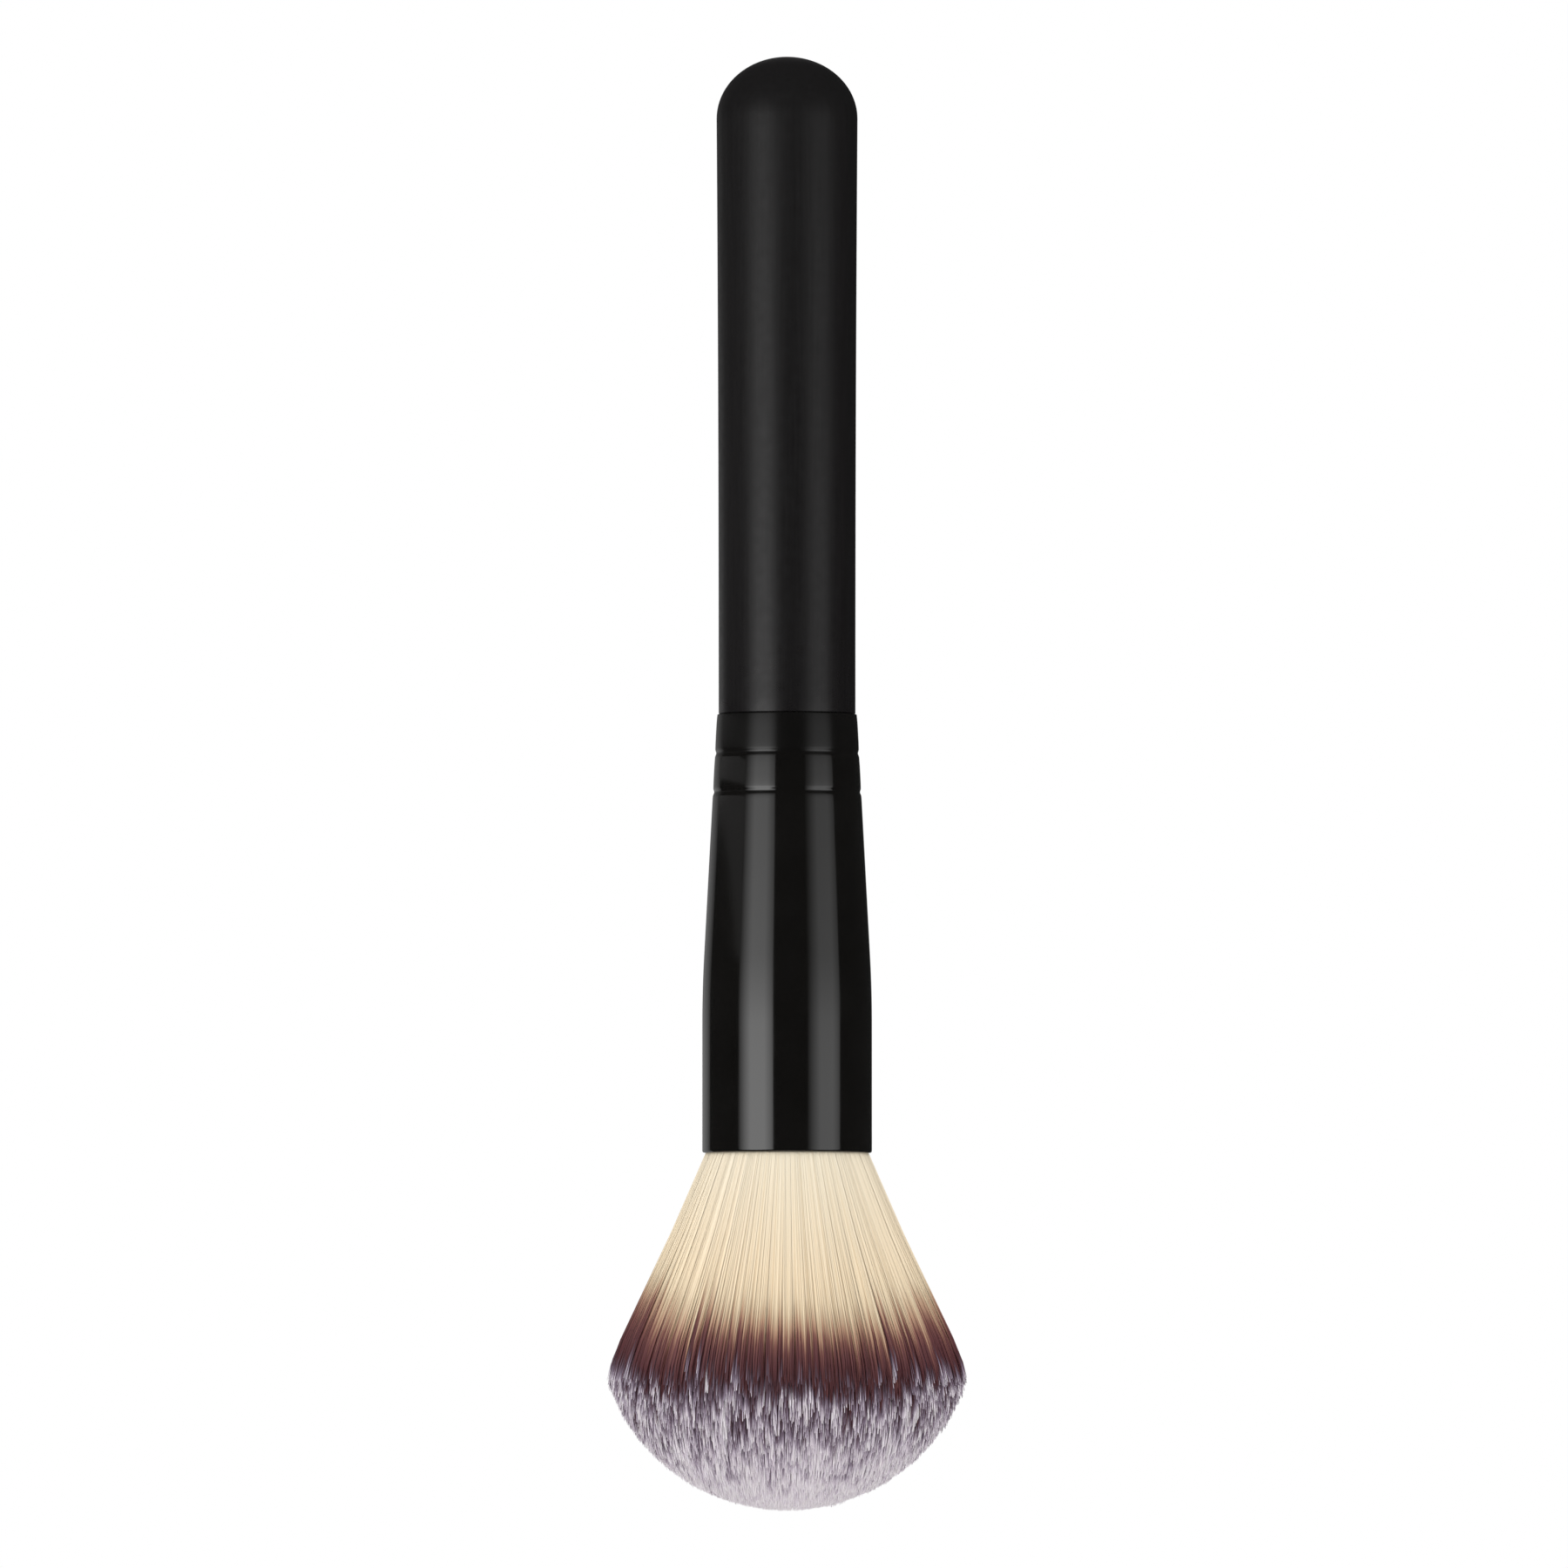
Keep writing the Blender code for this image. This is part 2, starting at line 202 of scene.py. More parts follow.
def arc(centre, across, along, start, end, steps):
    """Points (radius, height) on an elliptical arc, from one angle to another."""
    angles = [start + (end - start) * i / steps for i in range(steps + 1)]
    return [(centre[0] + across * cos(a), centre[1] + along * sin(a)) for a in angles]


# %% [markdown]
# The handle.
# It is turned from a close-grained wood such as beech: a domed end, a body that thins a little
# towards the ferrule, a crisp shoulder, and a tenon that goes into the ferrule. The outline
# has an elliptical dome and a side whose taper eases off, as a sanded handle's does.

# %% Turn the handle
HANDLE_END_RADIUS = 8.3 * MM
HANDLE_NECK_RADIUS = 8.05 * MM
HANDLE_DOME_HEIGHT = 7.3 * MM
SHOULDER_GAP = 0.04 * MM
LACQUERED_TENON = 1.5 * MM
SHOULDER_ROUND = 0.1 * MM
TENON_RADIUS = 7.45 * MM
TENON_CHAMFER = 0.8 * MM
DOME_STEPS = 28
SIDE_STEPS = 40
SHOULDER_STEPS = 6
LATHE_STEPS = 128
SHOULDER = FERRULE_REAR + SHOULDER_GAP
DOME_BASE = HANDLE_TOP - HANDLE_DOME_HEIGHT


def handle_radius(height):
    """Radius of the handle's side: it thins quickly below the dome and then hardly at all."""
    share = (DOME_BASE - height) / (DOME_BASE - SHOULDER)
    return HANDLE_NECK_RADIUS + (HANDLE_END_RADIUS - HANDLE_NECK_RADIUS) * (1 - share) ** 2


def handle_outline():
    """From the dome's pole down the side, round the shoulder and along the tenon."""
    points = arc((0, DOME_BASE), HANDLE_END_RADIUS, HANDLE_DOME_HEIGHT, pi / 2, 0, DOME_STEPS)
    side_end = SHOULDER + SHOULDER_ROUND
    for i in range(1, SIDE_STEPS + 1):
        height = DOME_BASE + (side_end - DOME_BASE) * i / SIDE_STEPS
        points.append((handle_radius(height), height))
    corner = (points[-1][0] - SHOULDER_ROUND, side_end)
    points += arc(corner, SHOULDER_ROUND, SHOULDER_ROUND, 0, -pi / 2, SHOULDER_STEPS)[1:]
    points += [(TENON_RADIUS, SHOULDER), (TENON_RADIUS, SHOULDER - LACQUERED_TENON)]
    points.append((TENON_RADIUS, TENON_END + TENON_CHAMFER))
    points += [(TENON_RADIUS - TENON_CHAMFER, TENON_END), (0, TENON_END)]
    return points


handle = turn("lacquered_handle", handle_outline(), LATHE_STEPS)
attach(handle, "root")
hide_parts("handle")

# %% [markdown]
# The handle's finish.
# Several coats of black satin lacquer over sanded wood. It gives the eye a black that is a
# little warm and never quite dark, wide soft highlights, a faint orange peel from the spray
# gun, and a trace of the grain that telegraphs through the coats. The grain is drawn at about
# a third of a millimetre, coarser than the pores of beech, because finer lines don't show.
# The end by the ferrule, which the fingers hold, is a little glossier than the dome, so one
# more value, which runs from HELD_SHIFT to DOME_SHIFT, is added to the roughness.

# %% Make the satin lacquer
LACQUER_PEEL_MM = 1.1
LACQUER_GRAIN_MM = 0.35
GRAIN_STRETCH = 0.03
LEAST_LACQUER_ROUGHNESS = 0.37
MOST_LACQUER_ROUGHNESS = 0.45
HELD_SHIFT = -0.11
DOME_SHIFT = 0.02
GRAIN_DEPTH = 0.01 * MM
PEEL_DEPTH = 0.02 * MM
lacquer, shader = new_material("satin_lacquer_on_wood", IOR=1.5)
tree = lacquer.node_tree
place = add_node(tree, "ShaderNodeTexCoord").outputs["Object"]
along_grain = add_node(tree, "ShaderNodeMapping", {"Vector": place, "Scale": (1, 1, GRAIN_STRETCH)})
grain = add_node(tree, "ShaderNodeTexNoise", {
    "Vector": along_grain.outputs["Vector"], "Scale": per_mm(LACQUER_GRAIN_MM),
    "Detail": 3, "Roughness": 0.6})
peel = add_node(tree, "ShaderNodeTexNoise", {
    "Vector": place, "Scale": per_mm(LACQUER_PEEL_MM), "Detail": 2, "Roughness": 0.4})
tone = add_node(tree, "ShaderNodeValToRGB", {"Fac": grain.outputs["Fac"]},
                stops={0.3: "#121011", 0.7: "#181617"})
tree.links.new(tone.outputs["Color"], shader.inputs["Base Color"])
gloss = add_node(tree, "ShaderNodeMapRange", {
    "Value": peel.outputs["Fac"], "From Min": 0.3, "From Max": 0.7,
    "To Min": LEAST_LACQUER_ROUGHNESS, "To Max": MOST_LACQUER_ROUGHNESS})
height = add_node(tree, "ShaderNodeSeparateXYZ", {"Vector": place}).outputs["Z"]
handling = add_node(tree, "ShaderNodeMapRange", {
    "Value": height, "From Min": SHOULDER, "From Max": HANDLE_TOP,
    "To Min": HELD_SHIFT, "To Max": DOME_SHIFT})
worn = add_node(tree, "ShaderNodeMath", {
    0: gloss.outputs["Result"], 1: handling.outputs["Result"]}, operation="ADD")
tree.links.new(worn.outputs["Value"], shader.inputs["Roughness"])
grain_relief = add_node(tree, "ShaderNodeBump", {
    "Height": grain.outputs["Fac"], "Strength": 0.25, "Distance": GRAIN_DEPTH})
peel_relief = add_node(tree, "ShaderNodeBump", {
    "Height": peel.outputs["Fac"], "Normal": grain_relief.outputs["Normal"],
    "Strength": 0.3, "Distance": PEEL_DEPTH})
tree.links.new(peel_relief.outputs["Normal"], shader.inputs["Normal"])
handle.data.materials.append(lacquer)
print(f"{lacquer.name}: {len(tree.nodes)} nodes")

# %% [markdown]
# The tenon.
# It is left bare, because adhesive holds better on wood than on lacquer. Sanded beech is a pale
# tan, quite matt, with short dark pores that run along the handle.

# %% Make the bare wood of the tenon
WOOD_PORE_MM = 0.25
PORE_DEPTH = 0.03 * MM
wood, shader = new_material("sanded_beech", Roughness=0.65)
tree = wood.node_tree
place = add_node(tree, "ShaderNodeTexCoord").outputs["Object"]
along_grain = add_node(tree, "ShaderNodeMapping", {"Vector": place, "Scale": (1, 1, GRAIN_STRETCH)})
pores = add_node(tree, "ShaderNodeTexNoise", {
    "Vector": along_grain.outputs["Vector"], "Scale": per_mm(WOOD_PORE_MM), "Detail": 4})
tone = add_node(tree, "ShaderNodeValToRGB", {"Fac": pores.outputs["Fac"]},
                stops={0.35: "#b58e62", 0.65: "#d2b084"})
tree.links.new(tone.outputs["Color"], shader.inputs["Base Color"])
relief = add_node(tree, "ShaderNodeBump", {
    "Height": pores.outputs["Fac"], "Strength": 0.5, "Distance": PORE_DEPTH})
tree.links.new(relief.outputs["Normal"], shader.inputs["Normal"])
handle.data.materials.append(wood)
bare_from = SHOULDER - LACQUERED_TENON
bare = [face for face in handle.data.polygons if face.center.z < bare_from]
for face in bare:
    face.material_index = 1
print(f"bare wood on {len(bare)} faces of the tenon")

# %% [markdown]
# The ferrule.
# A thin aluminium tube, drawn to a flare and crimped twice where it grips the tenon. The
# crimping tool also rolls the bands beside each groove, so that they are slightly barrelled,
# and both ends are rolled over. It could be a cylinder with loops scaled by hand, but every
# one of its shapes is round, so it is one closed outline on the lathe.

# %% Shape the ferrule's outline
FERRULE_REAR_RADIUS = 8.25 * MM
FERRULE_WALL = 0.4 * MM
FERRULE_TAPER_LENGTH = 32.5 * MM
FERRULE_BLEND_LENGTH = 8.0 * MM
CRIMP_PLACES = (4.6 * MM, 9.2 * MM)
CRIMP_WIDTH = 0.9 * MM
CRIMP_DEPTH = 0.1 * MM
BAND_ROLL = 0.05 * MM
BAND_ROLL_POWER = 3
BODY_ROLL_LENGTH = 1.2 * MM
LIP_ROUND = 0.36 * MM
EDGE_ROUND = FERRULE_WALL / 2
REAR_ROUND = 0.07 * MM
EDGE_STEPS = 8
CRIMPED_RINGS = 84
FLARED_RINGS = 44


def flare_radius(distance):
    """Outer radius of the plain flared tube, at a distance from its rear edge."""
    slope = (MOUTH_RADIUS - FERRULE_REAR_RADIUS) / FERRULE_TAPER_LENGTH
    start = FERRULE_TAPER_LENGTH - FERRULE_BLEND_LENGTH / 2
    if distance <= start:
        return FERRULE_REAR_RADIUS + slope * distance
    left = max(0, start + FERRULE_BLEND_LENGTH - distance)
    return MOUTH_RADIUS - slope * left**2 / (2 * FERRULE_BLEND_LENGTH)


def crimped_in(distance):
    """How far the crimping tool has pressed the wall in: the grooves and the rolled bands."""
    pressed = 0
    for place in CRIMP_PLACES:
        off = abs(distance - place) / (CRIMP_WIDTH / 2)
        if off < 1:
            pressed += CRIMP_DEPTH * (1 + cos(pi * off)) / 2
    band_ends = (0, *CRIMP_PLACES)
    for start, end in zip(band_ends, band_ends[1:]):
        if start <= distance < end:
            from_middle = abs(2 * (distance - start) / (end - start) - 1)
            pressed += BAND_ROLL * from_middle**BAND_ROLL_POWER
    past = distance - CRIMP_PLACES[-1]
    if 0 <= past < BODY_ROLL_LENGTH:
        pressed += BAND_ROLL * (1 - past / BODY_ROLL_LENGTH) ** BAND_ROLL_POWER
    return pressed


def wall_stations():
    """Distances from the rear edge where the wall gets a ring: close together at the bends."""
    crimped_end = CRIMP_PLACES[-1] + BODY_ROLL_LENGTH
    crimped = np.linspace(REAR_ROUND, crimped_end, CRIMPED_RINGS)
    flared = np.linspace(crimped_end, FERRULE_LENGTH - LIP_ROUND, FLARED_RINGS)[1:]
    return [*crimped, *flared]


def ferrule_outline():
    """Down the outside, round the lip, up the bore and round the rear edge."""
    outer = [(flare_radius(d) - crimped_in(d), FERRULE_REAR - d) for d in wall_stations()]
    lip_centre = (MOUTH_RADIUS - LIP_ROUND, FERRULE_MOUTH + LIP_ROUND)
    lip = arc(lip_centre, LIP_ROUND, LIP_ROUND, 0, -pi / 2, EDGE_STEPS)[1:]
    inner = [(flare_radius(d) - crimped_in(d) - FERRULE_WALL, FERRULE_REAR - d)
             for d in reversed(wall_stations())]
    rear_centre = (outer[0][0] - EDGE_ROUND, FERRULE_REAR - REAR_ROUND)
    rear = arc(rear_centre, EDGE_ROUND, REAR_ROUND, pi, 0, EDGE_STEPS)[1:-1]
    return outer + lip + inner + rear


ferrule = turn("flared_ferrule", ferrule_outline(), LATHE_STEPS, closed=True)
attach(ferrule, "root")
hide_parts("ferrule")

# %% [markdown]
# The ferrule's finish.
# Black anodised aluminium, polished before it was dyed. The clear oxide on top is harder and
# more reflective than a lacquer (its IOR is about 1.77), so that lamps show as crisp strips
# on near black. The drawing die leaves very faint lines along the tube, which fray the edges
# of those strips; they are drawn half a millimetre apart, coarser than real ones, so that they
# show. The rear band, which the crimping jaws held, is duller than the rest: their grip left
# it rougher, by JAW_SHIFT, and with less of the clear oxide's shine.

# %% Make the black anodised metal
DRAW_LINE_MM = 0.5
DRAW_STRETCH = 0.02
DRAW_DEPTH = 0.01 * MM
SMUDGE_MM = 6
LEAST_OXIDE_ROUGHNESS = 0.07
MOST_OXIDE_ROUGHNESS = 0.1
JAW_EDGE_SOFTNESS = 0.25 * MM
JAW_SHIFT = 0.13
FULL_SHINE = 0.5
JAW_SHINE = 0.28
anodised, shader = new_material("black_anodised_aluminium", IOR=1.77)
tree = anodised.node_tree
place = add_node(tree, "ShaderNodeTexCoord").outputs["Object"]
height = add_node(tree, "ShaderNodeSeparateXYZ", {"Vector": place}).outputs["Z"]
along_tube = add_node(tree, "ShaderNodeMapping", {"Vector": place, "Scale": (1, 1, DRAW_STRETCH)})
lines = add_node(tree, "ShaderNodeTexNoise", {
    "Vector": along_tube.outputs["Vector"], "Scale": per_mm(DRAW_LINE_MM), "Detail": 2})
smudges = add_node(tree, "ShaderNodeTexNoise", {
    "Vector": place, "Scale": per_mm(SMUDGE_MM), "Detail": 3})
jaw_edge = FERRULE_REAR - CRIMP_PLACES[0]
jaws = add_node(tree, "ShaderNodeMapRange", {
    "Value": height,
    "From Min": jaw_edge - JAW_EDGE_SOFTNESS, "From Max": jaw_edge + JAW_EDGE_SOFTNESS})
polish = add_node(tree, "ShaderNodeMapRange", {
    "Value": smudges.outputs["Fac"], "From Min": 0.3, "From Max": 0.7,
    "To Min": LEAST_OXIDE_ROUGHNESS, "To Max": MOST_OXIDE_ROUGHNESS})
duller = add_node(tree, "ShaderNodeMath", {
    0: jaws.outputs["Result"], 1: JAW_SHIFT, 2: polish.outputs["Result"]},
    operation="MULTIPLY_ADD")
tree.links.new(duller.outputs["Value"], shader.inputs["Roughness"])
shine = add_node(tree, "ShaderNodeMapRange", {
    "Value": jaws.outputs["Result"], "To Min": FULL_SHINE, "To Max": JAW_SHINE})
tree.links.new(shine.outputs["Result"], shader.inputs["Specular IOR Level"])
dye = add_node(tree, "ShaderNodeValToRGB", {"Fac": smudges.outputs["Fac"]},
               stops={0.3: "#0b0a09", 0.7: "#0f0e0d"})
tree.links.new(dye.outputs["Color"], shader.inputs["Base Color"])
relief = add_node(tree, "ShaderNodeBump", {
    "Height": lines.outputs["Fac"], "Strength": 0.12, "Distance": DRAW_DEPTH})
tree.links.new(relief.outputs["Normal"], shader.inputs["Normal"])
ferrule.data.materials.append(anodised)
print(f"{anodised.name}: {len(tree.nodes)} nodes")

# %% [markdown]
# The potted root.
# Inside the ferrule the fibres are glued into one slug, with a waist where the thread is
# whipped round it. It is a plain turned solid, because only the fibres that leave it show.

# %% Turn the potted root
KNOT_RADIUS = 9.3 * MM
WAIST_RADIUS = 8.1 * MM
ROOT_RECESS = 0.1 * MM
ROOT_EDGE = 0.25 * MM
CLEARANCE = 0.3 * MM
binding_low, binding_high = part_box("root_binding")
root_front = FERRULE_MOUTH + ROOT_RECESS
root_outline = [
    (0, ROOT_TOP), (KNOT_RADIUS - ROOT_EDGE, ROOT_TOP), (KNOT_RADIUS, ROOT_TOP - ROOT_EDGE),
    (KNOT_RADIUS, binding_high.z + CLEARANCE), (WAIST_RADIUS, binding_high.z + CLEARANCE),
    (WAIST_RADIUS, binding_low.z - CLEARANCE), (KNOT_RADIUS, binding_low.z - CLEARANCE),
    (KNOT_RADIUS, root_front + ROOT_EDGE), (KNOT_RADIUS - ROOT_EDGE, root_front), (0, root_front)]
root = turn("potted_root", root_outline, LATHE_STEPS)
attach(root, "root")
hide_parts("bristles")

# %% [markdown]
# The path of a fibre.
# The fibres leave the ferrule side by side and fan out, so a fibre keeps its share of the
# radius on its whole way down. The tips were shaken into a cup, which gives the head its
# dome. The fan's outline is nearly straight, with a short bend where it leaves the lip and a
# rounded rim where it meets the dome. RIM_ROUNDING, in 1/m, is how fast it turns in there.

# %% Work out the fan and the dome
FAN_START_RADIUS = 9.5 * MM
FAN_SLOPE = 0.47
FAN_BEND_LENGTH = 0.4 * MM
RIM_START_DEPTH = 22.0 * MM
RIM_ROUNDING = 32.5
DOME_RIM_RADIUS = 21.3 * MM
DOME_HEIGHT = 15.6 * MM
TIP_DEPTH = FERRULE_MOUTH - TIP
DOME_RADIUS = (DOME_RIM_RADIUS**2 + DOME_HEIGHT**2) / (2 * DOME_HEIGHT)
DOME_SEARCH_STEPS = 32


def fan_radius(depth):
    """Radius of the fan of fibres at a depth below the ferrule's mouth."""
    below = np.maximum(depth, 0)
    bend = FAN_BEND_LENGTH * (1 - np.exp(-below / FAN_BEND_LENGTH))
    rim = RIM_ROUNDING * np.maximum(below - RIM_START_DEPTH, 0) ** 2
    return FAN_START_RADIUS + FAN_SLOPE * (below - bend) - rim


def dome_depth(share):
    """Depth at which fibres with these shares of the fan's radius meet the dome."""
    centre = TIP_DEPTH - DOME_RADIUS
    low = np.zeros_like(share)
    high = np.full_like(share, TIP_DEPTH)
    for _ in range(DOME_SEARCH_STEPS):
        middle = (low + high) / 2
        inside = (share * fan_radius(middle)) ** 2 + (middle - centre) ** 2 < DOME_RADIUS**2
        inside |= middle < centre
        low = np.where(inside, middle, low)
        high = np.where(inside, high, middle)
    return low


print(f"rim at {1000 * float(dome_depth(np.array([1.0]))[0]):.1f} mm below the mouth")

# %% [markdown]
# Locks and wisps.
# Fibres cling together: a few make a wisp, and some wisps make a lock. Each fibre is drawn
# towards the middle of its own wisp and lock, more and more towards its tip. This opens the
# small dark gaps between pale points that make a bundle read as hair. Every member of a lock
# was also dyed to about the same length, which gives the coloured band its ragged edge. The
# ferrule's wall lays the outermost fibres side by side, so the cream part looks smooth.

# %% Scatter fibres, wisps and locks over the knot
FIBRE_COUNT = 36000
WISP_COUNT = 5200
LOCK_COUNT = 760
FIBRE_JITTER = 0.5
WISP_JITTER = 0.3
LOCK_JITTER = 0.35
GOLDEN_ANGLE = pi * (3 - sqrt(5))
WALL_SHARE = 0.985
rng = np.random.default_rng(20)


def scatter(count, jitter):
    """Evenly spread places on the unit disc, like seeds in a sunflower, each a little off."""
    index = np.arange(count)
    share = np.sqrt((index + 0.5) / count)
    turns = index * GOLDEN_ANGLE
    spacing = sqrt(pi / count)
    places = np.stack([share * np.cos(turns), share * np.sin(turns)], axis=1)
    places += rng.normal(0, jitter * spacing, places.shape)
    reach = np.maximum(np.linalg.norm(places, axis=1), 1)
    return places / reach[:, None]


def line_the_wall(places):
    """Move the outermost fibres sideways, so that they lie side by side along the wall."""
    shares = np.linalg.norm(places, axis=1)
    angles = np.arctan2(places[:, 1], places[:, 0])
    outer = np.nonzero(shares > WALL_SHARE)[0]
    outer = outer[np.argsort(angles[outer])]
    even = np.linspace(-pi, pi, len(outer), endpoint=False)
    lined = places.copy()
    lined[outer] = np.stack([np.cos(even), np.sin(even)], axis=1) * shares[outer, None]
    print(f"{len(outer)} fibres line the wall")
    return lined


fibre_places = line_the_wall(scatter(FIBRE_COUNT, FIBRE_JITTER))
wisp_places = scatter(WISP_COUNT, WISP_JITTER)
lock_places = scatter(LOCK_COUNT, LOCK_JITTER)


# %% Find each fibre's wisp and lock
def nearest(places, centres):
    """For each place, the number of the centre that is closest to it."""
    finder = KDTree(len(centres))
    for number, (x, y) in enumerate(centres):
        finder.insert((x, y, 0), number)
    finder.balance()
    return np.array([finder.find((x, y, 0))[1] for x, y in places])


wisp_of = nearest(fibre_places, wisp_places)
lock_of = nearest(wisp_places, lock_places)[wisp_of]
print(f"about {FIBRE_COUNT / WISP_COUNT:.0f} fibres make a wisp")
print(f"about {WISP_COUNT / LOCK_COUNT:.0f} wisps make a lock")

# %% [markdown]
# One fibre.
# It is a thin bar of three sides, one unit long, cut across where it will bend, widen or taper.
# It is modelled once, and its points are then laid along every fibre's own path. The real
# fibres are thinner still and far more in number, so each of these stands for a few of them.

# %% Model one fibre
FIBRE_RADIUS = 0.058 * MM
FIBRE_END_RADIUS = 0.09 * MM
TAPER_START_SHARE = 0.93
TIP_WIDTH_SHARE = 0.3
RING_SHARES = (0.35, 0.65, 0.82, TAPER_START_SHARE)
FIBRE_SIDES = 3
bpy.ops.object.select_all(action="DESELECT")
bpy.ops.mesh.primitive_cylinder_add(
    vertices=FIBRE_SIDES, radius=1, depth=1, end_fill_type="NGON", location=(0, 0, 0.5))
pattern = bpy.context.object
pattern.name = "fibre_pattern"
bpy.ops.object.mode_set(mode="EDIT")
for share in RING_SHARES:
    bpy.ops.mesh.select_all(action="SELECT")
    bpy.ops.mesh.bisect(plane_co=(0, 0, share), plane_no=(0, 0, 1))
bpy.ops.object.mode_set(mode="OBJECT")
bpy.ops.object.transform_apply(location=True, rotation=True, scale=True)
pattern_points = np.array([tuple(v.co) for v in pattern.data.vertices])
pattern_faces = [tuple(face.vertices) for face in pattern.data.polygons]
bpy.data.objects.remove(pattern)
print(f"one fibre: {len(pattern_points)} points, {len(pattern_faces)} faces")

# %% Choose each fibre's length and wave
WAVE = 0.12 * MM
LOCK_LENGTH_SCATTER = 0.06 * MM
FIBRE_LENGTH_SCATTER = 0.42 * MM
fibre_share = np.linalg.norm(fibre_places, axis=1)
lock_extra = rng.normal(0, LOCK_LENGTH_SCATTER, LOCK_COUNT)[lock_of]
fibre_shortfall = np.abs(rng.normal(0, FIBRE_LENGTH_SCATTER, FIBRE_COUNT))
tip_depth = dome_depth(fibre_share) + lock_extra - fibre_shortfall
wave_angle = rng.uniform(0, 2 * pi, FIBRE_COUNT)
wave_size = rng.normal(0, WAVE, FIBRE_COUNT)
print(f"tips {1000 * tip_depth.min():.1f} to {1000 * tip_depth.max():.1f} mm below the mouth")

# %% [markdown]
# Along the path.
# On its way down a fibre spreads with the fan, strays on a slight wave of its own, and only
# near its end closes up with its wisp and lock, because the pull grows with a high power. Its
# upper end is sunk a little into the potted root, so that no gap shows under the ferrule.

# %% Lay the fibre along every path
LOCK_PULL = 0.11
WISP_PULL = 0.34
PULL_POWER = 5
BURIED = 0.3 * MM
RING_TOLERANCE = 1e-3


def fibre_radius(along):
    """Radius of a fibre: it is drawn wider as the fan opens, and tapers to a blunt tip."""
    widened = FIBRE_RADIUS + (FIBRE_END_RADIUS - FIBRE_RADIUS) * min(along / TAPER_START_SHARE, 1)
    past = max(0, (along - TAPER_START_SHARE) / (1 - TAPER_START_SHARE))
    return widened * (1 - (1 - TIP_WIDTH_SHARE) * past)


def fibre_points(along):
    """Places of all fibres' middle lines at a share of their way from the mouth to the tip."""
    depth = along * tip_depth
    spread = (fan_radius(depth) - fibre_radius(along))[:, None]
    place = fibre_places * spread
    pull = along**PULL_POWER
    place = place + pull * LOCK_PULL * (lock_places[lock_of] * spread - place)
    place = place + pull * WISP_PULL * (wisp_places[wisp_of] * spread - place)
    wave = wave_size * along**2
    place[:, 0] += wave * np.cos(wave_angle)
    place[:, 1] += wave * np.sin(wave_angle)
    return np.column_stack([place, FERRULE_MOUTH - depth])


ring_heights = sorted({round(float(z), 4) for z in pattern_points[:, 2]})
all_points = np.empty((FIBRE_COUNT, len(pattern_points), 3))
twist = rng.uniform(0, 2 * pi, FIBRE_COUNT)
for ring in ring_heights:
    middle = fibre_points(ring)
    if ring == 0:
        middle[:, 2] += BURIED
    radius = fibre_radius(ring)
    for number in np.nonzero(np.abs(pattern_points[:, 2] - ring) < RING_TOLERANCE)[0]:
        angle = twist - atan2(pattern_points[number, 1], pattern_points[number, 0])
        side = np.column_stack([np.cos(angle), np.sin(angle), np.zeros(FIBRE_COUNT)])
        all_points[:, number] = middle + radius * side
print(f"{all_points.shape[0] * all_points.shape[1]} points on {len(ring_heights)} rings a fibre")

# %% [markdown]
# Where the dye lies.
# Such fibres are bleached cream, dipped in burgundy dye and then stripped at the ends, so that
# each colour lies at its own distance from the tip. A UV map carries this. V is the dye length:
# the distance from the tip, stretched or shortened where the dips reached unevenly, and shifted
# for each lock, wisp and fibre. U is the fibre's own tone. The colours then depend on the map
# alone, and every fibre can share one small picture of them. Some wisps took up more dye than
# the rest, which draws the dark points that reach up into the cream.

# %% Draw each fibre's tone and dye shift
LOCK_TONE = 0.15
WISP_TONE = 0.4
FIBRE_TONE = 0.4
LOCK_DYE_SCATTER = 0.45 * MM
WISP_DYE_SCATTER = 0.45 * MM
FIBRE_DYE_SCATTER = 0.5 * MM
LONG_DYE = 0.6 * MM
LONGEST_DYE = 2.4 * MM
MOST_DYE_SHIFT = 4 * MM
tone_of = LOCK_TONE * rng.uniform(0, 1, LOCK_COUNT)[lock_of]
tone_of += WISP_TONE * rng.uniform(0, 1, WISP_COUNT)[wisp_of]
tone_of += FIBRE_TONE * rng.uniform(0, 1, FIBRE_COUNT)
dye_shift = rng.normal(0, LOCK_DYE_SCATTER, LOCK_COUNT)[lock_of]
dye_shift += rng.normal(0, WISP_DYE_SCATTER, WISP_COUNT)[wisp_of]
dye_shift += rng.normal(0, FIBRE_DYE_SCATTER, FIBRE_COUNT)
long_dye = np.minimum(rng.exponential(LONG_DYE, WISP_COUNT), LONGEST_DYE)
dye_shift -= long_dye[wisp_of] - LONG_DYE
dye_shift = np.clip(dye_shift, -MOST_DYE_SHIFT, MOST_DYE_SHIFT)
print(f"dye shifts spread by {1000 * dye_shift.std():.2f} mm")

# %% [markdown]
# How far the dips reached.
# Dips are never even. Here the dye climbs further at the left and right sides and inside the
# head, and slightly further on the left than on the right. The pale ends are longest in the
# middle of the dome and shortest at its rim, where the outermost tips kept some dye as well.
# Between these places V runs evenly, and past the band it follows the distance itself.

